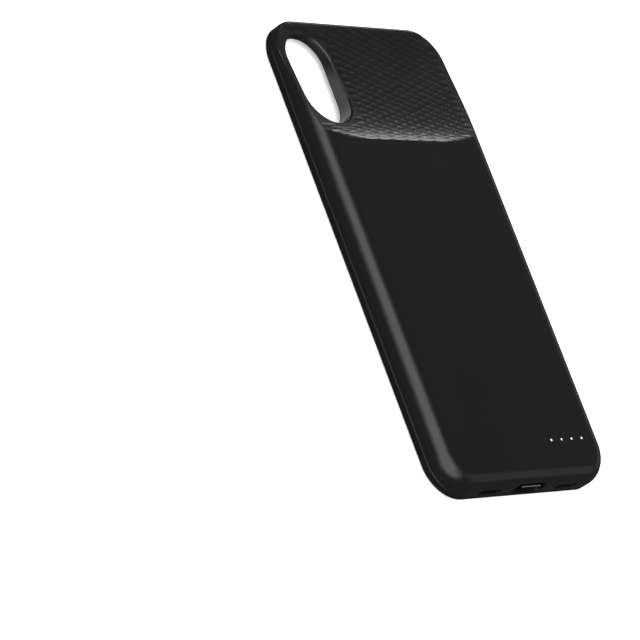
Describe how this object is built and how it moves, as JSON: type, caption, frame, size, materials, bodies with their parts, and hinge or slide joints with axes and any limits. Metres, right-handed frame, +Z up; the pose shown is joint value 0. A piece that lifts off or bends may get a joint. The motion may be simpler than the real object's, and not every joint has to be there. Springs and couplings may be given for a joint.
{
  "type": "battery charging case",
  "caption": "Slim battery case for the back of a phone: humped shell with a scooped ramp, camera opening, charge socket, power key, charge lights and a shallow tray.",
  "frame": {"origin": "middle of the outline, on the plane that the rim rests on", "axes": "+X across the case, +Y along it towards the camera end, +Z up out of its back"},
  "size_m": [0.0734, 0.149, 0.009],
  "materials": {
    "shell_soft_touch": "soft-touch matte black, smooth",
    "rim_rubber": "satin black soft plastic",
    "plate_plastic": "fine matte black",
    "coil_copper": "enamelled copper wire",
    "ferrite_grey": "matte sheet",
    "lead_insulation": "insulated wire",
    "magnet_nickel": "plated",
    "cell_foil": "satin laminated foil",
    "tape_white": "adhesive sheet",
    "foam_dark": "closed-cell foam",
    "board_green": "solder mask",
    "tab_nickel": "rolled strip",
    "socket_steel": "drawn shell",
    "tongue_plastic": "moulded, with contacts",
    "key_plastic": "satin black",
    "component_black": "moulded case",
    "lamp_yellow": "small lamp",
    "light_clear": "frosted clear",
    "capacitor_tan": "ceramic",
    "screw_steel": "plated"
  },
  "bodies": {
    "case": {"back_shell": "shell_soft_touch", "soft_frame": "rim_rubber", "inner_plate": "plate_plastic", "charging_coil": "coil_copper", "ferrite_sheet": "ferrite_grey", "coil_leads": "lead_insulation", "holding_magnets": "magnet_nickel", "battery_cell": "cell_foil", "cell_tape": "tape_white", "foam_pads": "foam_dark", "protection_board": "board_green", "cell_tabs": "tab_nickel", "battery_leads": "lead_insulation", "main_board": "board_green", "charge_socket": "socket_steel", "socket_tongue": "tongue_plastic", "key_switch": "component_black", "charge_leds": "lamp_yellow", "light_guide": "light_clear", "power_inductor": "component_black", "control_chips": "component_black", "capacitors": "capacitor_tan", "board_screws": "screw_steel"},
    "key": {"power_key": "key_plastic"}
  },
  "joints": [
    {"name": "key_press", "type": "slide", "parent": "case", "child": "key", "axis": [0, 1, 0], "range_m": [0, 0.0004], "stiffness_N_per_m": 300}
  ]
}
